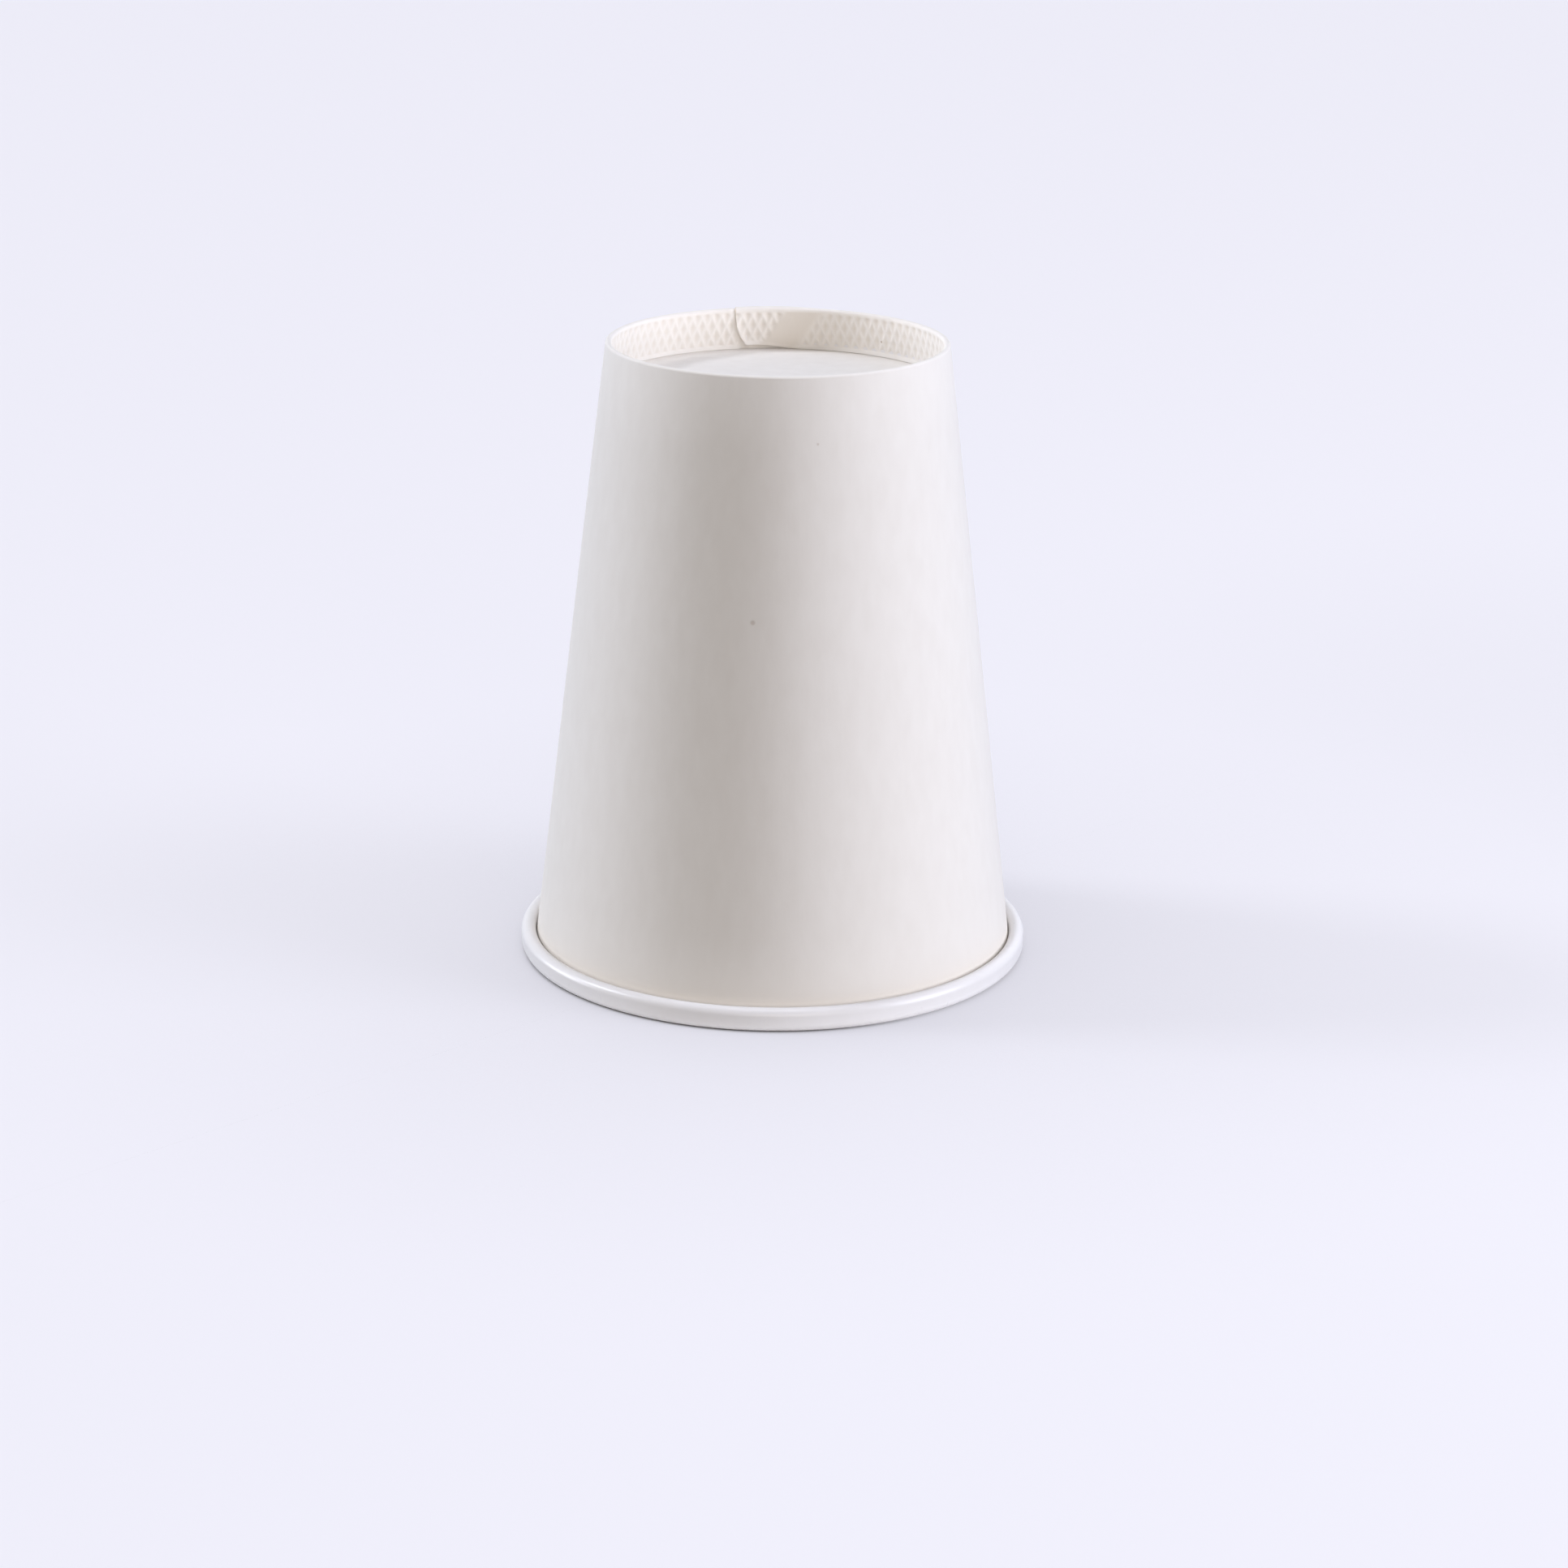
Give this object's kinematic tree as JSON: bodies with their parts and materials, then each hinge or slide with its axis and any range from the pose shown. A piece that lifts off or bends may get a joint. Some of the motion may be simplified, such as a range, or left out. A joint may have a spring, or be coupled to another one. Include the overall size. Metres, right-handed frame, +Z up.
{
  "type": "paper cup",
  "caption": "Tapered single-wall paper cup with a rolled rim, lapped side seam and hemmed recessed base, standing upside down on its rim.",
  "frame": {"origin": "centre of the rim's bearing plane, on the cup's axis", "axes": "+Z up along the cup's axis from the rim to the foot, as the cup stands upside down; -Y faces the picture's viewer, +X to the viewer's right, so the side seam is at the back"},
  "size_m": [0.0904, 0.0904, 0.1102],
  "materials": {
    "wall_board": "matte uncoated white board outside, smooth sealed face inside",
    "base_board": "matte uncoated white board outside, smooth sealed face inside"
  },
  "bodies": {
    "root": {"sidewall": "wall_board", "base_disc": "base_board"}
  },
  "joints": []
}
